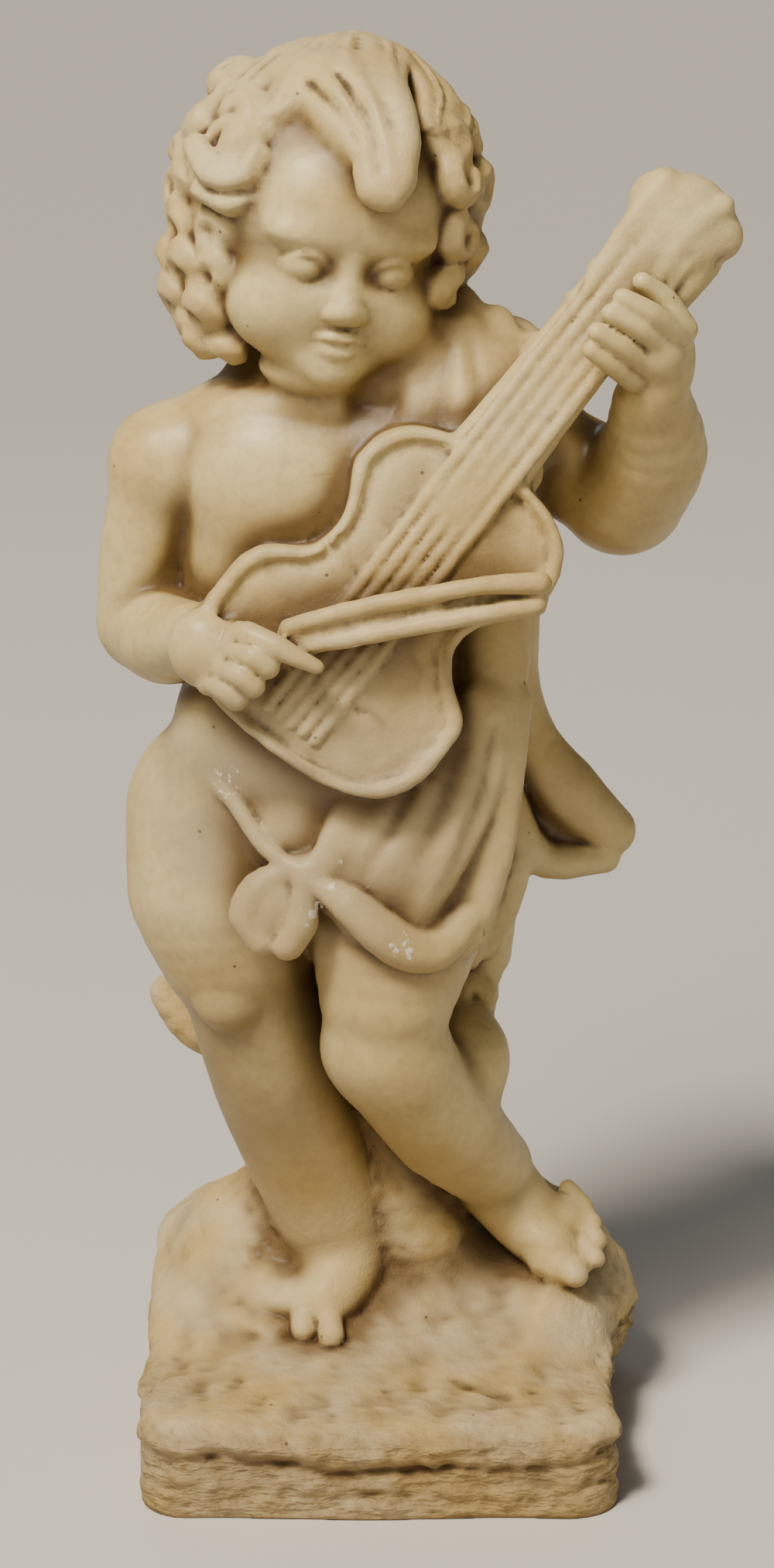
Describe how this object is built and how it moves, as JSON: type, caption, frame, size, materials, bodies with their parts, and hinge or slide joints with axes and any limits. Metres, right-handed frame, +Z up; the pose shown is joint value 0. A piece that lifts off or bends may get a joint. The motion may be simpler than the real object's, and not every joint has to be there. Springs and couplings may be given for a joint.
{
  "type": "cherub garden statue",
  "caption": "Carved cherub in pale stone, standing against a stump on a rough rocky base with a draped cloth, and bowing a fiddle held across the chest.",
  "frame": {"origin": "centre of the flat underside of the base, on the ground", "axes": "+Z up to the crown of the head, -Y to the figure's front, +X to the figure's own left hand"},
  "size_m": [0.401, 0.2946, 0.9217],
  "materials": {
    "cast_marble": "satin"
  },
  "bodies": {
    "root": {"cherub_statue": "cast_marble"}
  },
  "joints": []
}
